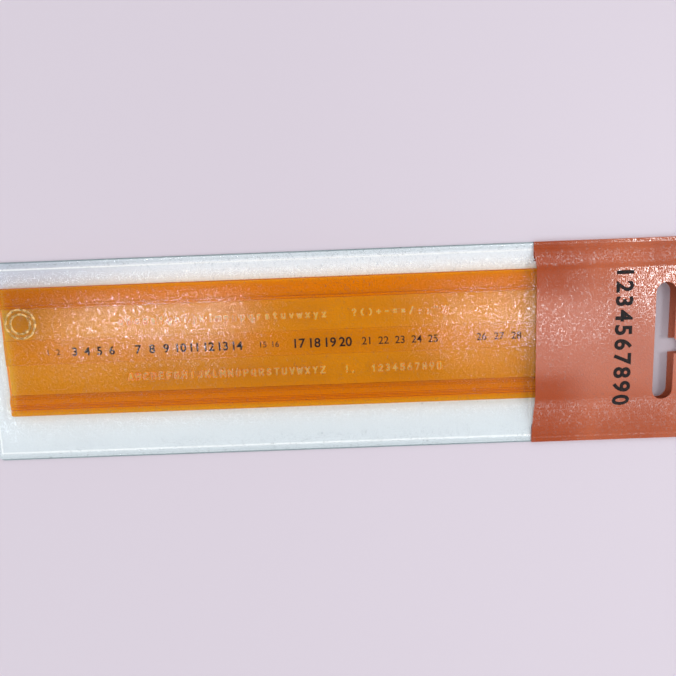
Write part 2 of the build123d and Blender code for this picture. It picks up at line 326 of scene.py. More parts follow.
@dataclass(frozen=True)
class OrangePlastic(Finish):
    """Clear orange plastic of the plate, yellower where it is milled thin."""

    name: ClassVar[str] = "orange_plastic"
    middle: float
    band_edge: float = 3.6 * MM
    field_edge: float = 13.1 * MM
    ledge_edge: float = 13.9 * MM
    plate_edge: float = 19.1 * MM
    grooves: tuple[float, float] = (16.2 * MM, 17.1 * MM)
    groove_width: float = 0.5 * MM
    rim_inset: float = 0.1 * MM
    rim_width: float = 0.7 * MM
    soft: float = 0.12 * MM
    level_face: tuple[float, float] = (0.2, 0.5)
    body: Colour = seen(228, 112, 10)
    thin: Colour = seen(232, 146, 30)
    band: Colour = seen(212, 112, 18)
    # Painted glow: the side faces are painted this brighter orange.
    edge: Colour = seen(240, 104, 22)
    # Colour of the painted shade lines at the steps, grooves and upper edge, and of the random
    # clouds.
    line: Colour = seen(172, 58, 8)
    frost: Colour = seen(255, 190, 152)
    shine: Colour = (1.0, 0.97, 0.92, 1.0)
    thin_tint: Colour = (1.0, 0.75, 0.27, 1.0)
    thick_tint: Colour = (1.0, 0.695, 0.15, 1.0)
    wall_tint: Colour = (1.0, 0.74, 0.66, 1.0)
    cloud: float = 14.0 * MM
    streak: float = 40.0 * MM
    scratch: float = 5.0 * MM
    band_depth: float = 0.45
    skin: float = 0.01
    side_skin: float = 0.2
    milled_skin: float = 0.4
    shade_line_skin: float = 0.36
    index: float = 1.49
    most_mirror: float = 0.08
    gloss: float = 0.12
    relief: float = 0.002 * MM

    def shade_lines(self, nodes: NodeSheet, across: Signal, away: Signal) -> Signal:
        """Return the painted shade lines at the steps, in the lower rail's grooves and along the
        upper edge.

        Args:
            nodes: The material's nodes.
            across: Place across the wallet.
            away: Distance from the plate's middle line.

        Returns:
            The mask, 1 on the lines.
        """
        shade_lines = nodes.line(away, self.field_edge, 3 * self.soft)
        shade_lines = shade_lines + nodes.line(away, self.ledge_edge, 2 * self.soft)
        shade_lines = shade_lines + 0.5 * nodes.line(away, self.band_edge, 3 * self.soft)
        lower = 1 - nodes.rise(across, self.middle - 1 * MM, self.middle + 1 * MM)
        for groove in self.grooves:
            shade_lines = shade_lines + lower * nodes.line(away, groove, self.groove_width)
        # Painted shade along the plate's upper outer edge.
        edge_shade = nodes.line(across - self.middle, self.plate_edge - self.rim_inset, self.rim_width)
        return nodes.rise(shade_lines + edge_shade, 0.0, 1.0)

    def shade(self, nodes: NodeSheet) -> Signal:
        """Return clear tinted plastic with a faint solid skin, frosted cuts, a little gloss,
        painted shade lines and a painted glow on its side faces.
        """
        place = nodes.place()
        _, across, _ = nodes.axes(place)
        away = abs(across - self.middle)
        rail = nodes.rise(away, self.field_edge - self.soft, self.field_edge + self.soft)
        band = 1 - nodes.rise(away, self.band_edge - self.soft, self.band_edge + self.soft)
        shade_lines = self.shade_lines(nodes, across, away)
        facing = nodes.axes(nodes.add("ShaderNodeNewGeometry", output="Normal"))[2]
        front = nodes.rise(facing, *self.level_face)
        side = 1 - nodes.rise(abs(facing), *self.level_face)
        inner = nodes.rise(away, self.band_edge + 2 * self.soft, self.band_edge + 4 * self.soft)
        outer = nodes.rise(away, self.field_edge - 4 * self.soft, self.field_edge - 2 * self.soft)
        milled = side * inner * (1 - outer)

        colour = nodes.blend(rail, self.thin, self.body)
        colour = nodes.blend(band, colour, self.band)
        # Painted shade along the steps, the lower rail's grooves and the upper edge.
        colour = nodes.blend(shade_lines, colour, self.line)
        # Painted glow on the side faces.
        colour = nodes.blend(0.8 * side, colour, self.edge)
        colour = nodes.blend(milled, colour, self.frost)
        colour = nodes.blend(0.12 * nodes.noise(place, self.cloud, 3.0), colour, self.line)

        streaks = nodes.noise(nodes.stretched(place, (1.0, 60.0, 1.0)), self.streak, 4.0)
        fine = nodes.noise(nodes.stretched(place, (1.0, 14.0, 1.0)), self.scratch, 4.0)
        relief = nodes.bump(fine + 0.3 * streaks, self.relief)
        skin = nodes.surface(
            {
                "Base Color": colour,
                "Roughness": 0.22 + 0.16 * fine,
                "IOR": self.index,
                "Normal": relief,
            }
        )
        thick = nodes.rise(rail + self.band_depth * band, 0.0, 1.0)
        clear = nodes.mix(thick, nodes.clear(self.thin_tint), nodes.clear(self.thick_tint))
        clear = nodes.mix(milled, clear, nodes.clear(self.wall_tint))
        solid = self.skin + self.side_skin * side + self.milled_skin * milled
        # A more solid skin on the painted shade lines' front faces, so that the shade shows.
        solid = solid + self.shade_line_skin * shade_lines * front
        gloss = nodes.surface(
            {"Base Color": self.shine, "Metallic": 1.0, "Roughness": 0.12, "Normal": relief}
        )
        mirror = nodes.mirror(self.index, self.most_mirror)
        return nodes.mix(self.gloss * mirror, nodes.mix(solid, clear, skin), gloss)


@dataclass(frozen=True)
class RidgePlastic(Finish):
    """The same clear plastic where it stands up in thin ridges, with a painted highlight on them.
    """

    name: ClassVar[str] = "ridge_plastic"
    # Painted highlight: the ridges' skin is painted this pale yellow, fading in blotches to the
    # plain orange below it.
    body: Colour = seen(255, 226, 150)
    worn: Colour = seen(236, 160, 60)
    tint: Colour = (1.0, 0.96, 0.78, 1.0)
    index: float = 1.7
    blotch: float = 1.6 * MM
    relief: float = 0.12 * MM

    def shade(self, nodes: NodeSheet) -> Signal:
        """Return plastic that is solid in small blotches and clear between them, its skin painted
        pale yellow as a highlight away from the blotches.
        """
        wear_and_sheen = nodes.noise(nodes.place(), self.blotch, 2.0)
        skin = nodes.surface(
            {
                # Painted highlight, pale where the blotches fade.
                "Base Color": nodes.blend(0.6 * wear_and_sheen, self.body, self.worn),
                "Roughness": 0.1 + 0.2 * wear_and_sheen,
                "IOR": self.index,
                "Normal": nodes.bump(wear_and_sheen, self.relief),
            }
        )
        share = 0.2 + 0.6 * nodes.rise(wear_and_sheen, 0.4, 0.6)
        return nodes.mix(share, nodes.clear(self.tint), skin)


@dataclass(frozen=True)
class ClearFilm(Finish):
    """Clear grained vinyl, which shows by its gloss alone."""

    name: ClassVar[str] = "clear_film"
    grain: Grain = Grain(0.58 * MM, 0.012 * MM)
    shine: Colour = (0.92, 0.95, 0.97, 1.0)
    tint: Colour = (1.0, 1.0, 1.0, 1.0)
    roughness: float = 0.17
    index: float = 1.52
    most_mirror: float = 0.1
    gloss: float = 0.1
    crest_gloss: float = 0.36

    def shade(self, nodes: NodeSheet) -> Signal:
        """Return clear film with a faint mirror and brighter crests on its outer faces."""
        skin = nodes.surface(
            {
                "Base Color": self.shine,
                "Metallic": 1.0,
                "Roughness": self.roughness,
                "Normal": self.grain.relief(nodes),
            }
        )
        mirror = nodes.mirror(self.index, self.most_mirror)
        inside = nodes.add("ShaderNodeNewGeometry", output="Backfacing")
        crests = self.grain.threads(nodes) * (1 - inside)
        share = self.gloss * mirror + self.crest_gloss * crests
        return nodes.mix(share, nodes.clear(self.tint), skin)


@dataclass(frozen=True)
class PaleFilm(Finish):
    """Milky vinyl of the wallet's back, greyer along its weld, with painted shade at the top left,
    towards the bottom, along its grain (most at the top) and on its very edge, and a painted
    highlight on the weld's lip.
    """

    name: ClassVar[str] = "pale_film"
    grain: Grain = Grain(0.75 * MM, 0.05 * MM)
    half_width: float = 30.0 * MM
    closed_end: float = -107.0 * MM
    weld: float = 1.5 * MM
    milk: tuple[Colour, Colour] = (seen(243, 247, 250), seen(234, 238, 243))
    # Painted shade: the film's top left is blended towards this grey.
    dim: Colour = seen(196, 198, 211)
    # Painted shade: the lower part of the film is blended towards this grey.
    lower_shade: Colour = seen(218, 225, 227)
    # Painted shade along the grain's crests, strongest at the top.
    grain_shade: Colour = seen(194, 202, 212)
    welded: Colour = seen(176, 187, 192)
    # Painted shade line on the film's very edge.
    edge_shade: Colour = seen(120, 138, 140)
    # Painted highlight along the weld's inner lip.
    lip_highlight: Colour = seen(252, 254, 254)
    cloud: float = 30.0 * MM
    left_fade: tuple[float, float] = (-95.0 * MM, -40.0 * MM)
    top_fade: tuple[float, float] = (0.0, 25.0 * MM)
    rim_width: float = 0.8 * MM
    lip_width: float = 0.9 * MM
    roughness: float = 0.35

    def shade(self, nodes: NodeSheet) -> Signal:
        """Return the milky skin with its painted shade, the greyer band of its weld and the weld's
        lines: painted shade on the edge and a painted highlight on the lip.
        """
        place = nodes.place()
        along, across, _ = nodes.axes(place)
        colour = nodes.blend(nodes.noise(place, self.cloud, 3.0), *self.milk)
        left = 1 - nodes.rise(along, *self.left_fade)
        upper = nodes.rise(across, *self.top_fade)
        # Painted shade, darker towards the top left.
        colour = nodes.blend(0.9 * left * upper, colour, self.dim)
        # Painted shade, greyer towards the bottom.
        colour = nodes.blend(0.7 * (1 - upper), colour, self.lower_shade)
        # Painted shade along the grain's crests, strongest at the top.
        grain_shade = (0.08 + 0.45 * upper) * self.grain.threads(nodes)
        colour = nodes.blend(grain_shade, colour, self.grain_shade)
        inset = (self.half_width - abs(across)).under(along - self.closed_end)
        welded = 1 - nodes.rise(inset, 0.9 * self.weld, 1.15 * self.weld)
        edge_shade = nodes.line(inset, 0.1 * self.weld, self.rim_width)
        lip_highlight = nodes.line(inset, 1.45 * self.weld, self.lip_width)
        colour = nodes.blend(0.3 * welded, colour, self.welded)
        # Painted shade line on the film's very edge.
        colour = nodes.blend(0.9 * edge_shade, colour, self.edge_shade)
        # Painted highlight along the weld's inner lip.
        colour = nodes.blend(lip_highlight, colour, self.lip_highlight)
        return nodes.surface(
            {
                "Base Color": colour,
                "Roughness": self.roughness,
                "Normal": self.grain.relief(nodes),
            }
        )


@dataclass(frozen=True)
class SalmonVinyl(Finish):
    """Tinted grained vinyl of the header leaves, with a painted sheen between its top and bottom
    and painted shade beside the plate's corners.
    """

    name: ClassVar[str] = "salmon_vinyl"
    grain: Grain = Grain(0.62 * MM, 0.05 * MM)
    tints: tuple[Colour, Colour] = (seen(190, 94, 56), seen(177, 82, 46))
    # Painted sheen: a pale pink band across the middle of the leaves.
    pale: Colour = seen(202, 123, 102)
    # Painted shade beside the plate's corners.
    deep: Colour = seen(166, 66, 22)
    cloud: float = 16.0 * MM
    middle: float = 3.0 * MM
    lower_fade: tuple[float, float] = (-24.0 * MM, -6.0 * MM)
    upper_fade: tuple[float, float] = (6.0 * MM, 24.0 * MM)
    corner_shade_fade: tuple[float, float] = (9.0 * MM, 15.0 * MM)
    corner_shade_end: tuple[float, float] = (62.0 * MM, 74.0 * MM)

    def shade(self, nodes: NodeSheet) -> Signal:
        """Return the tinted skin with a painted sheen across its middle, painted shade beside the
        plate's corners and glossy crests.
        """
        place = nodes.place()
        along, across, _ = nodes.axes(place)
        cloud = nodes.rise(nodes.noise(place, self.cloud, 3.0), 0.3, 0.7)
        colour = nodes.blend(cloud, *self.tints)
        below = nodes.rise(across, *self.lower_fade)
        sheen_band = below * (1 - nodes.rise(across, *self.upper_fade))
        # Painted sheen across the middle.
        colour = nodes.blend(0.6 * sheen_band, colour, self.pale)
        corner_shade = nodes.rise(abs(across - self.middle), *self.corner_shade_fade)
        corner_shade = corner_shade * (1 - nodes.rise(along, *self.corner_shade_end))
        # Painted shade beside the plate's corners.
        colour = nodes.blend(0.8 * corner_shade, colour, self.deep)
        return nodes.surface(
            {
                "Base Color": colour,
                "Roughness": 0.38,
                "Specular IOR Level": 0.25,
                "Coat Weight": self.grain.threads(nodes),
                "Coat Roughness": 0.17,
                "Coat IOR": 2.8,
                "Alpha": 0.9,
                "Normal": self.grain.relief(nodes),
            }
        )


@dataclass(frozen=True)
class BlackInk(Finish):
    """Printed ink, a little worn."""

    name: ClassVar[str] = "black_ink"
    fresh: Colour = seen(24, 20, 22)
    worn: Colour = seen(70, 48, 40)
    blotch: float = 0.7 * MM

    def shade(self, nodes: NodeSheet) -> Signal:
        """Return dull ink with browner blotches."""
        wear_and_sheen = nodes.rise(nodes.noise(nodes.place(), self.blotch, 3.0), 0.45, 0.75)
        return nodes.surface(
            {
                "Base Color": nodes.blend(0.6 * wear_and_sheen, self.fresh, self.worn),
                "Roughness": 0.5 + 0.2 * wear_and_sheen,
                "Specular IOR Level": 0.15,
            }
        )


@dataclass(frozen=True)
class TableTop(Finish):
    """Plain pale table."""

    name: ClassVar[str] = "table_top"
    tints: tuple[Colour, Colour] = (seen(218, 205, 214), seen(212, 199, 208))
    roughness: float = 0.55

    def shade(self, nodes: NodeSheet) -> Signal:
        """Return a plain skin with very soft clouds."""
        colour = nodes.blend(nodes.noise(nodes.place(), 250 * MM, 2.0), *self.tints)
        return nodes.surface({"Base Color": colour, "Roughness": self.roughness})


def only(piece: bpy.types.Object) -> None:
    """Select one piece alone and make it active."""
    bpy.ops.object.select_all(action="DESELECT")
    piece.select_set(True)
    bpy.context.view_layer.objects.active = piece


def finish_with(piece: bpy.types.Object, kind: str, **settings: object) -> None:
    """Add a modifier to a piece, set it up and apply it.

    Args:
        piece: The piece.
        kind: The modifier's type.
        **settings: The modifier's settings.
    """
    only(piece)
    bpy.ops.object.modifier_add(type=kind)
    modifier = piece.modifiers[-1]
    for name, value in settings.items():
        setattr(modifier, name, value)
    bpy.ops.object.modifier_apply(modifier=modifier.name)


def pick_points(piece: bpy.types.Object, test: Test) -> None:
    """Select the points of a piece that pass a test, and stay in edit mode.

    Args:
        piece: The piece.
        test: Tells whether a point is picked.
    """
    only(piece)
    bpy.ops.object.mode_set(mode="EDIT")
    bpy.ops.mesh.select_mode(type="VERT")
    bpy.ops.mesh.select_all(action="DESELECT")
    bpy.ops.object.mode_set(mode="OBJECT")
    for vertex in piece.data.vertices:
        vertex.select = test(vertex.co)
    bpy.ops.object.mode_set(mode="EDIT")


def smooth(piece: bpy.types.Object) -> None:
    """Shade a piece smooth, with its sharp edges left sharp."""
    only(piece)
    bpy.ops.object.shade_smooth_by_angle(angle=math.radians(SMOOTH_DEGREES))


def give(piece: bpy.types.Object, finish: bpy.types.Material, body: Body) -> None:
    """Dress a piece in a finish and let it ride on its body.

    Args:
        piece: The piece.
        finish: Its material.
        body: The body that the piece moves with.
    """
    piece.data.materials.clear()
    piece.data.materials.append(finish)
    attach(piece, body.value)
    logging.info("%s rides on %s", piece.name, body.value)


def steps(*runs: tuple[float, float, float]) -> list[float]:
    """Return grid places along runs that join.

    Args:
        *runs: Start, end and widest step of each run.

    Returns:
        The places, from the first start to the last end.
    """
    places = [runs[0][0]]
    for start, end, step in runs:
        count = math.ceil(round((end - start) / step, 6))
        places += [start + (end - start) * (index + 1) / count for index in range(count)]
    return places


@dataclass(frozen=True)
class Wave:
    """A long wave of slack film, with its two lengths in millimetres."""

    size: float
    along: float
    across: float
    phase: float

    def level(self, x: float, y: float) -> float:
        """Return the wave's height at a place, from -size to size."""
        return self.size * math.sin(x / MM / self.along + y / MM / self.across + self.phase)


@dataclass(frozen=True)
class Hump:
    """A smooth raised line."""

    height: float
    middle: float
    width: float

    def level(self, place: float) -> float:
        """Return the hump's height at a place across it."""
        return self.height * math.exp(-(((place - self.middle) / self.width) ** 2))


@dataclass(frozen=True)
class WalletShape:
    """Sizes of the wallet, and the heights of its sheets over the plate."""

    half_length: float = 107.0 * MM
    half_width: float = 30.0 * MM
    corner_radius: float = 3.0 * MM
    weld_width: float = 1.5 * MM
    weld_ramp: float = 0.5 * MM
    header_start: float = 56.9 * MM
    lap_end: float = 61.9 * MM
    tongue_edge: float = 24.5 * MM
    joggle: float = 1.0 * MM
    film: float = 0.2 * MM
    leaf: float = 0.3 * MM
    leaf_rest: float = 0.42 * MM
    plate_start: float = -99.0 * MM
    plate_middle: float = 3.4 * MM
    plate_half: float = 19.1 * MM
    side_room: float = 0.6 * MM
    crown: float = 2.9 * MM
    air: float = 0.02 * MM
    sag: float = 0.17
    crest_round: float = 0.5 * MM
    swell_height: float = 0.22 * MM
    waves: tuple[Wave, ...] = (
        Wave(1.0, 9.5, 26.0, 0.7),
        Wave(0.8, 17.0, -15.0, 2.1),
        Wave(0.5, 5.7, 8.5, 4.0),
    )
    beads: tuple[Hump, ...] = (
        Hump(0.12 * MM, 1.65 * MM, 0.28 * MM),
        Hump(0.06 * MM, 0.3 * MM, 0.22 * MM),
    )
    leaf_bead: float = 0.8
    over_end: Hump = Hump(0.14 * MM, 65.0 * MM, 7.0 * MM)
    ripple: Hump = Hump(0.16 * MM, 79.0 * MM, 5.0 * MM)
    rim_zone: float = 2.5 * MM
    fine_step: float = 0.25 * MM
    coarse_step: float = 1.0 * MM

    def trimmed(self, x: float, y: float, ends: tuple[int, ...]) -> tuple[float, float]:
        """Return a grid point moved inside the rounded corners.

        Args:
            x: Place along the wallet.
            y: Place across the wallet.
            ends: The rounded ends.

        Returns:
            The point's new place.
        """
        end = MOUTH_END if x > 0 else CLOSED_END
        corner_x = self.half_length - self.corner_radius
        corner_y = self.half_width - self.corner_radius
        over_x, over_y = abs(x) - corner_x, abs(y) - corner_y
        if end not in ends or over_x <= 0 or over_y <= 0:
            return x, y
        share = max(over_x, over_y) / math.hypot(over_x, over_y)
        return (
            end * (corner_x + share * over_x),
            math.copysign(corner_y + share * over_y, y),
        )

    def inset(self, x: float, y: float) -> float:
        """Return how far a point is inside the wallet's outline."""
        over_x = abs(x) - (self.half_length - self.corner_radius)
        over_y = abs(y) - (self.half_width - self.corner_radius)
        if over_x > 0 and over_y > 0:
            return self.corner_radius - math.hypot(over_x, over_y)
        return self.corner_radius - max(over_x, over_y)

    def fall(self, past_crest: float, run: float) -> float:
        """Return how high a sheet is, from 1 at its crest to 0 at its weld.

        Args:
            past_crest: Distance beyond the crest, negative over the plate.
            run: Distance from the crest to the weld.

        Returns:
            The share of the height.
        """
        rounded = (past_crest + math.hypot(past_crest, self.crest_round)) / 2
        share = min(max(rounded / run, 0.0), 1.0)
        return 1 - share - 4 * self.sag * share * (1 - share)

    def tent(self, x: float, y: float) -> float:
        """Return the drape over the plate, 1 above it and 0 at the welds."""
        crest = self.plate_half + self.side_room
        away = y - self.plate_middle
        seam = self.half_width - self.weld_width
        run = seam - crest - math.copysign(self.plate_middle, away)
        across = self.fall(abs(away) - crest, run)
        crest_x = self.plate_start - self.side_room
        run_x = crest_x + self.half_length - self.weld_width
        return across * self.fall(crest_x - x, run_x)

    def swell(self, x: float, y: float) -> float:
        """Return the soft waves of the sheets, which only ever stand above the plate's room."""
        total = sum(wave.level(x, y) for wave in self.waves)
        largest = sum(wave.size for wave in self.waves)
        return self.swell_height * (0.5 + 0.5 * total / largest)

    def bead(self, x: float, y: float) -> float:
        """Return the raised lips of the weld round the wallet's edge."""
        inset = self.inset(x, y)
        return sum(bead.level(inset) for bead in self.beads)

    def film_level(self, x: float, y: float) -> float:
        """Return the underside of the front film."""
        tent = self.tent(x, y)
        level = self.film + self.air + (self.crown - self.film) * tent
        return level + self.swell(x, y) * tent + self.bead(x, y)

    def end_swell(self, x: float, y: float) -> float:
        """Return the header's rise over the plate's end and its slack past it."""
        uneven = 0.6 + 0.4 * math.sin(y / (9 * MM))
        return self.over_end.level(x) + self.ripple.level(x) * uneven

    def leaf_level(self, x: float, y: float) -> float:
        """Return the underside of the header's front leaf."""
        tent, rest = self.tent(x, y), self.leaf_rest
        past_weld = (self.inset(x, y) - self.weld_width) / self.weld_ramp
        weld = 1 - min(max(past_weld, 0.0), 1.0)
        level = rest + (self.crown + self.film - rest) * tent
        level += (self.swell(x, y) + self.end_swell(x, y)) * tent
        return level + (self.leaf + self.air - rest) * weld + self.leaf_bead * self.bead(x, y)

    def back_level(self, x: float, y: float) -> float:
        """Return the underside of the back film, whose tongue steps up on to the back leaf."""
        if abs(y) >= self.tongue_edge + HAIR:
            return 0.0
        step = (x - self.header_start + self.joggle) / self.joggle
        return self.leaf * min(max(step, 0.0), 1.0)


@dataclass(frozen=True)
class GridSheet:
    """A thin sheet that is laid as a grid of heights."""

    name: str
    columns: list[float]
    rows: list[float]
    level: Level
    thickness: float
    shape: WalletShape
    ends: tuple[int, ...]

    def lay(self, drop: Test | None = None) -> bpy.types.Object:
        """Return the sheet, with its thickness upwards from its level.

        Args:
            drop: Tells which points of the grid are cut away.

        Returns:
            The sheet.
        """
        bpy.ops.object.select_all(action="DESELECT")
        wide, deep = len(self.columns) - 1, len(self.rows) - 1
        bpy.ops.mesh.primitive_grid_add(x_subdivisions=wide, y_subdivisions=deep, size=1)
        sheet = bpy.context.object
        sheet.name = sheet.data.name = self.name
        for vertex in sheet.data.vertices:
            column = round((vertex.co.x + 0.5) * wide)
            row = round((vertex.co.y + 0.5) * deep)
            x, y = self.shape.trimmed(self.columns[column], self.rows[row], self.ends)
            vertex.co = (x, y, self.level(x, y))
        if drop:
            pick_points(sheet, drop)
            bpy.ops.mesh.delete(type="VERT")
            bpy.ops.object.mode_set(mode="OBJECT")
        finish_with(sheet, "SOLIDIFY", thickness=self.thickness, offset=1.0)
        smooth(sheet)
        return sheet


@dataclass(frozen=True)
class Sleeve:
    """The clear front film and the pale back film."""

    shape: WalletShape
    trim_height: float = 0.62 * MM

    def rows(self) -> list[float]:
        """Return the grid's places across the wallet."""
        shape = self.shape
        edge, inner, tongue = shape.half_width, shape.half_width - shape.rim_zone, shape.tongue_edge
        fine, coarse = shape.fine_step, shape.coarse_step
        return steps(
            (-edge, -inner, fine),
            (-inner, -tongue, coarse),
            (-tongue, tongue, coarse),
            (tongue, inner, coarse),
            (inner, edge, fine),
        )

    def columns(self) -> list[float]:
        """Return the grid's places along the sleeve."""
        shape = self.shape
        start, lap = shape.header_start, shape.lap_end
        inner = -shape.half_length + shape.rim_zone
        fine, coarse = shape.fine_step, shape.coarse_step
        return steps(
            (-shape.half_length, inner, fine),
            (inner, start - shape.joggle, coarse),
            (start - shape.joggle, start, fine),
            (start, lap, coarse),
        )

    def film(self, name: str, level: Level, drop: Test) -> bpy.types.Object:
        """Return one of the two films.

        Args:
            name: The film's name.
            level: Its underside.
            drop: Tells which points of its grid are cut away.

        Returns:
            The film.
        """
        thickness, ends = self.shape.film, (CLOSED_END,)
        grid = GridSheet(name, self.columns(), self.rows(), level, thickness, self.shape, ends)
        return grid.lay(drop)

    def build(self) -> None:
        """Lay both films and dress them."""
        shape = self.shape
        header, tongue = shape.header_start + HAIR, shape.tongue_edge + HAIR
        front = self.film(
            "front_film", shape.film_level, lambda co: co.x > header and co.z < self.trim_height
        )
        give(front, ClearFilm().material(), Body.WALLET)
        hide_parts("wallet_front_film")

        back = self.film(
            "back_film", shape.back_level, lambda co: co.x > header and abs(co.y) > tongue
        )
        give(back, PaleFilm().material(), Body.WALLET)
        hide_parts("wallet_back_film")


@dataclass(frozen=True)
class Numerals:
    """A run of plain numerals, printed at an even pitch."""

    first: int
    last: int
    start: float
    end: float
    height: float
    weight: float


def type_numeral(text: str, height: float, weight: float, ink: float) -> bpy.types.Object:
    """Return a numeral as a mesh at the origin, centred, of a given height.

    Args:
        text: The digits.
        height: Height of the digits.
        weight: How much the strokes are thickened, as a share of the height.
        ink: Thickness of the ink.

    Returns:
        The numeral.
    """
    bpy.ops.object.select_all(action="DESELECT")
    bpy.ops.object.text_add()
    numeral = bpy.context.object
    numeral.data.body = text
    numeral.data.size = height / DIGIT_SHARE
    numeral.data.offset = weight * height
    numeral.data.extrude = ink / 2
    numeral.data.align_x = "CENTER"
    numeral.data.resolution_u = 4
    bpy.ops.object.convert(target="MESH")
    numeral = bpy.context.object
    numeral.location = (0, -height / 2, 0)
    bpy.ops.object.transform_apply(location=True, rotation=True, scale=True)
    bpy.ops.object.mode_set(mode="EDIT")
    bpy.ops.mesh.select_all(action="SELECT")
    bpy.ops.mesh.remove_doubles(threshold=MERGE)
    bpy.ops.mesh.normals_make_consistent(inside=False)
    bpy.ops.object.mode_set(mode="OBJECT")
    return numeral


def put(piece: bpy.types.Object, place: tuple[float, float, float], turn: float) -> None:
    """Turn a piece about +Z, move it and leave its place in its mesh.

    Args:
        piece: The piece, at the origin.
        place: Where it goes.
        turn: Its turn in radians.
    """
    only(piece)
    piece.rotation_euler = (0, 0, turn)
    piece.location = place
    bpy.ops.object.transform_apply(location=True, rotation=True, scale=True)


def join(pieces: list[bpy.types.Object], name: str) -> bpy.types.Object:
    """Join pieces into one and name it."""
    bpy.ops.object.select_all(action="DESELECT")
    for piece in pieces:
        piece.select_set(True)
    bpy.context.view_layer.objects.active = pieces[0]
    bpy.ops.object.join()
    joined = bpy.context.object
    joined.name = joined.data.name = name
    return joined


@dataclass(frozen=True)
class StencilPlate:
    """The CAD plate's finish, its printed count and its moulded rings."""

    middle: float = 3.4 * MM
    band_top: float = 2.4 * MM
    field_top: float = 2.2 * MM
    ink: float = 0.03 * MM
    ring_place: tuple[float, float] = (-93.4 * MM, 12.0 * MM)
    ring_radii: tuple[float, float] = (4.3 * MM, 2.9 * MM)
    ring_thickness: float = 0.34 * MM
    runs: tuple[Numerals, ...] = (
        Numerals(1, 2, -87.6 * MM, -81.6 * MM, 1.8 * MM, 0.0),
        Numerals(3, 6, -80.0 * MM, -65.4 * MM, 2.5 * MM, 0.035),
        Numerals(7, 14, -61.6 * MM, -28.4 * MM, 2.6 * MM, 0.035),
        Numerals(15, 16, -24.6 * MM, -17.4 * MM, 1.8 * MM, 0.01),
        Numerals(17, 20, -14.6 * MM, 3.8 * MM, 2.8 * MM, 0.025),
        Numerals(21, 25, 5.4 * MM, 29.6 * MM, 2.3 * MM, 0.01),
        Numerals(26, 28, 38.8 * MM, 54.0 * MM, 2.2 * MM, 0.01),
    )

    def print_count(self) -> bpy.types.Object:
        """Return the count that is printed along the band."""
        numerals = []
        for run in self.runs:
            total = run.last - run.first + 1
            for index in range(total):
                text = str(run.first + index)
                numeral = type_numeral(text, run.height, run.weight, self.ink)
                along = run.start + (run.end - run.start) * (index + 0.5) / total
                put(numeral, (along, self.middle, self.band_top + self.ink / 2), 0.0)
                numerals.append(numeral)
        return join(numerals, "band_count")

    def mould_ring(self, radius: float) -> bpy.types.Object:
        """Return a low ring that stands up from the field.

        Args:
            radius: Radius of the ring's middle.

        Returns:
            The ring, cut flat where it meets the field.
        """
        x, y = self.ring_place
        bpy.ops.object.select_all(action="DESELECT")
        bpy.ops.mesh.primitive_torus_add(
            location=(x, y, self.field_top),
            major_radius=radius,
            minor_radius=self.ring_thickness,
            major_segments=64,
            minor_segments=12,
        )
        ring = bpy.context.object
        bpy.ops.object.transform_apply(location=True, rotation=True, scale=True)
        pick_points(ring, lambda co: True)
        bpy.ops.mesh.bisect(
            plane_co=(x, y, self.field_top + HAIR),
            plane_no=(0, 0, 1),
            use_fill=True,
            clear_inner=True,
        )
        bpy.ops.object.mode_set(mode="OBJECT")
        return ring

    def build(self) -> None:
        """Dress the plate, print the count and raise the rings."""
        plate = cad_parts["stencil_plate"]
        plate.data.materials.clear()
        plate.data.materials.append(OrangePlastic(self.middle).material())
        count = self.print_count()
        give(count, BlackInk().material(), Body.STENCIL)
        rings = join([self.mould_ring(radius) for radius in self.ring_radii], "mould_rings")
        smooth(rings)
        give(rings, RidgePlastic().material(), Body.STENCIL)


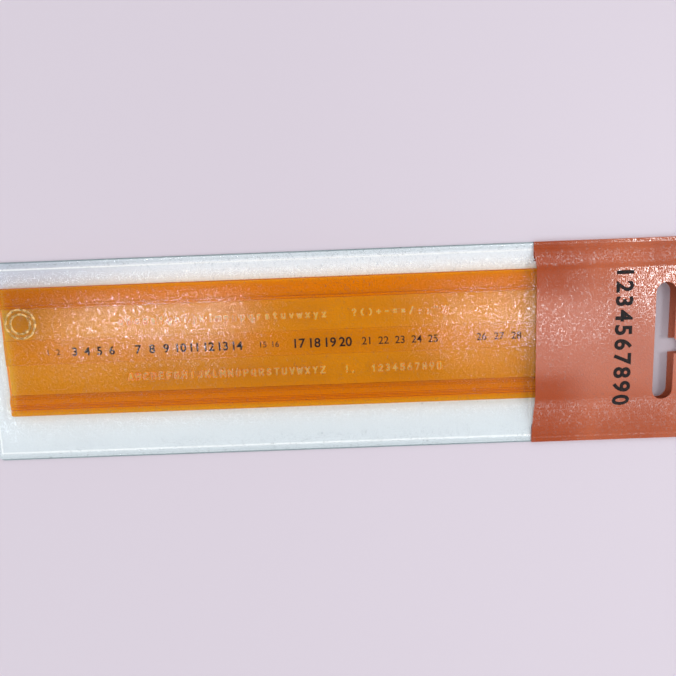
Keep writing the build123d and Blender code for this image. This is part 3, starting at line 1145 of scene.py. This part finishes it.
@dataclass(frozen=True)
class Header:
    """The two tinted leaves with their hang slot and printed column."""

    shape: WalletShape
    slot_place: float = 94.1 * MM
    slot_length: float = 34.5 * MM
    slot_width: float = 5.9 * MM
    notch_width: float = 4.1 * MM
    notch_depth: float = 3.2 * MM
    notch_offset: float = 1.6 * MM
    cutter_level: float = 2.0 * MM
    cutter_height: float = 12.0 * MM
    cutter_flat: float = 0.001 * MM
    cutter_segments: int = 14
    column_place: float = 82.2 * MM
    column_top: float = 22.6 * MM
    column_bottom: float = -19.2 * MM
    digits: str = "1234567890"
    digit_height: float = 4.9 * MM
    digit_weight: float = 0.04
    ink: float = 0.06 * MM

    def rows(self) -> list[float]:
        """Return the grid's places across the header."""
        edge, inner = self.shape.half_width, self.shape.half_width - self.shape.rim_zone
        fine, coarse = self.shape.fine_step, self.shape.coarse_step
        return steps((-edge, -inner, fine), (-inner, inner, coarse), (inner, edge, fine))

    def columns(self) -> list[float]:
        """Return the grid's places along the header."""
        start, end = self.shape.header_start, self.shape.half_length
        inner = end - self.shape.rim_zone
        return steps((start, inner, self.shape.coarse_step), (inner, end, self.shape.fine_step))

    def stadium(self, size: tuple[float, float], middle: tuple[float, float]) -> bpy.types.Object:
        """Return a cutter whose outline is a rectangle with round ends.

        Args:
            size: Its size along and across the wallet.
            middle: Its middle.

        Returns:
            The cutter.
        """
        bpy.ops.object.select_all(action="DESELECT")
        bpy.ops.mesh.primitive_cube_add(
            size=1, location=(*middle, self.cutter_level), scale=(*size, self.cutter_height)
        )
        cutter = bpy.context.object
        bpy.ops.object.transform_apply(location=True, rotation=True, scale=True)
        bpy.ops.object.mode_set(mode="EDIT")
        bpy.ops.mesh.select_mode(type="EDGE")
        bpy.ops.mesh.select_all(action="DESELECT")
        bpy.ops.object.mode_set(mode="OBJECT")
        points = cutter.data.vertices
        for edge in cutter.data.edges:
            low, high = (points[index].co for index in edge.vertices)
            edge.select = abs(low.z - high.z) > MM
        bpy.ops.object.mode_set(mode="EDIT")
        bpy.ops.mesh.bevel(
            offset=min(size) / 2 - self.cutter_flat, segments=self.cutter_segments, affect="EDGES"
        )
        bpy.ops.object.mode_set(mode="OBJECT")
        return cutter

    def punch(self, leaf: bpy.types.Object) -> None:
        """Cut the hang slot and its notch through a leaf."""
        reach = self.slot_width / 2 + self.notch_depth
        cutters = [
            self.stadium((self.slot_width, self.slot_length), (self.slot_place, 0.0)),
            self.stadium(
                (reach + self.notch_width / 2, self.notch_width),
                (self.slot_place + reach / 2, -self.notch_offset),
            ),
        ]
        for cutter in cutters:
            finish_with(leaf, "BOOLEAN", operation="DIFFERENCE", solver="EXACT", object=cutter)
            bpy.data.objects.remove(cutter)

    def column_count(self) -> bpy.types.Object:
        """Return the bold digits that are printed down the header."""
        pieces = []
        pitch = (self.column_top - self.column_bottom) / len(self.digits)
        for index, text in enumerate(self.digits):
            digit = type_numeral(text, self.digit_height, self.digit_weight, self.ink)
            across = self.column_top - (index + 0.5) * pitch
            put(digit, (self.column_place, across, 0.0), -math.pi / 2)
            pieces.append(digit)
        column = join(pieces, "header_count")
        pick_points(column, lambda co: True)
        bpy.ops.mesh.subdivide(number_cuts=2)
        bpy.ops.object.mode_set(mode="OBJECT")
        for vertex in column.data.vertices:
            top = self.shape.leaf_level(vertex.co.x, vertex.co.y) + self.shape.leaf
            vertex.co.z += top
        return column

    def build(self) -> None:
        """Lay both leaves, punch them, dress them and print the column."""
        shape, ends = self.shape, (MOUTH_END,)
        vinyl = SalmonVinyl().material()
        for name, node, level in (
            ("front_leaf", "header_front_leaf", shape.leaf_level),
            ("back_leaf", "header_back_leaf", lambda x, y: 0.0),
        ):
            grid = GridSheet(name, self.columns(), self.rows(), level, shape.leaf, shape, ends)
            leaf = grid.lay()
            self.punch(leaf)
            smooth(leaf)
            give(leaf, vinyl, Body.WALLET)
            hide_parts(node)
        count = self.column_count()
        give(count, BlackInk().material(), Body.WALLET)


@dataclass(frozen=True)
class SoftBox:
    """A rectangular lamp, whose second size runs along its aim."""

    name: str
    place: tuple[float, float, float]
    aim: tuple[float, float, float]
    size: tuple[float, float]
    watts: float
    colour: tuple[float, float, float] = (1.0, 1.0, 1.0)

    def hang(self) -> None:
        """Hang the lamp and aim it."""
        light = bpy.data.lights.new(self.name, "AREA")
        light.shape = "RECTANGLE"
        light.size, light.size_y = self.size
        light.energy = self.watts
        light.color = self.colour
        lamp = bpy.data.objects.new(self.name, light)
        lamp.location = self.place
        towards = Vector(self.aim) - Vector(self.place)
        lamp.rotation_euler = towards.to_track_quat("-Z", "Y").to_euler()
        bpy.context.scene.collection.objects.link(lamp)


@dataclass(frozen=True)
class Studio:
    """The table, the lamps, the room's light and the camera."""

    camera_place: tuple[float, float, float] = (0.00084761, 0.02871757, 0.16454266)
    camera_turn: tuple[float, float, float] = (-0.14881, 0.00348, -0.03867)
    lens: float = 29.822
    sensor_width: float = 36.0
    nearest: float = 0.01
    table_size: float = 6.0
    table_drop: float = 0.05 * MM
    overhead: Colour = (0.05, 0.055, 0.06, 1.0)
    walls: Colour = (1.74, 1.81, 1.88, 1.0)
    wall_top: tuple[float, float] = (0.45, 0.92)
    lamps: tuple[SoftBox, ...] = (
        SoftBox(
            "window",
            place=(0.412, 0.022, 0.5),
            aim=(0.0, 0.0, 0.0),
            size=(0.13, 0.13),
            watts=0.7,
            colour=(0.94, 0.98, 1.0),
        ),
        SoftBox(
            "left_tube",
            place=(-0.35, -0.086, 0.9),
            aim=(0.0, -0.086, 0.0),
            size=(0.05, 0.3),
            watts=0.44,
        ),
        SoftBox(
            "right_tube",
            place=(0.34, -0.11, 0.9),
            aim=(0.0, -0.11, 0.0),
            size=(0.05, 0.28),
            watts=0.36,
        ),
    )

    def set_table(self) -> None:
        """Lay the plain table just under the wallet."""
        bpy.ops.object.select_all(action="DESELECT")
        bpy.ops.mesh.primitive_plane_add(size=self.table_size, location=(0, 0, -self.table_drop))
        table = bpy.context.object
        table.name = "table"
        bpy.ops.object.transform_apply(location=True, rotation=True, scale=True)
        table.data.materials.append(TableTop().material())

    def light_room(self) -> None:
        """Light the room, dim overhead and pale towards the walls."""
        world = bpy.data.worlds.new("room")
        bpy.context.scene.world = world
        nodes = NodeSheet(world)
        direction = nodes.add("ShaderNodeTexCoord", output="Generated")
        height = nodes.axes(direction)[2]
        walls = 1 - nodes.rise(height, *self.wall_top)
        colour = nodes.blend(walls, self.overhead, self.walls)
        background = nodes.add("ShaderNodeBackground", None, {"Color": colour})
        nodes.finish("ShaderNodeOutputWorld", background)

    def set_camera(self) -> None:
        """Put the camera where the photo was taken from."""
        view = bpy.data.cameras.new("photo_view")
        view.lens = self.lens
        view.sensor_width = self.sensor_width
        view.clip_start = self.nearest
        camera = bpy.data.objects.new("photo_view", view)
        camera.location = self.camera_place
        camera.rotation_euler = self.camera_turn
        bpy.context.scene.collection.objects.link(camera)
        bpy.context.scene.camera = camera

    def build(self) -> None:
        """Set the whole studio up."""
        self.set_table()
        for lamp in self.lamps:
            lamp.hang()
        self.light_room()
        self.set_camera()
        bpy.context.scene.view_settings.view_transform = "Standard"
        logging.info("studio is set up")


def main() -> None:
    """Build every sub-assembly in order."""
    logging.basicConfig(level=logging.INFO, format="%(message)s")
    shape = WalletShape()
    StencilPlate().build()
    Sleeve(shape).build()
    Header(shape).build()
    Studio().build()


if __name__ == "__main__":
    main()
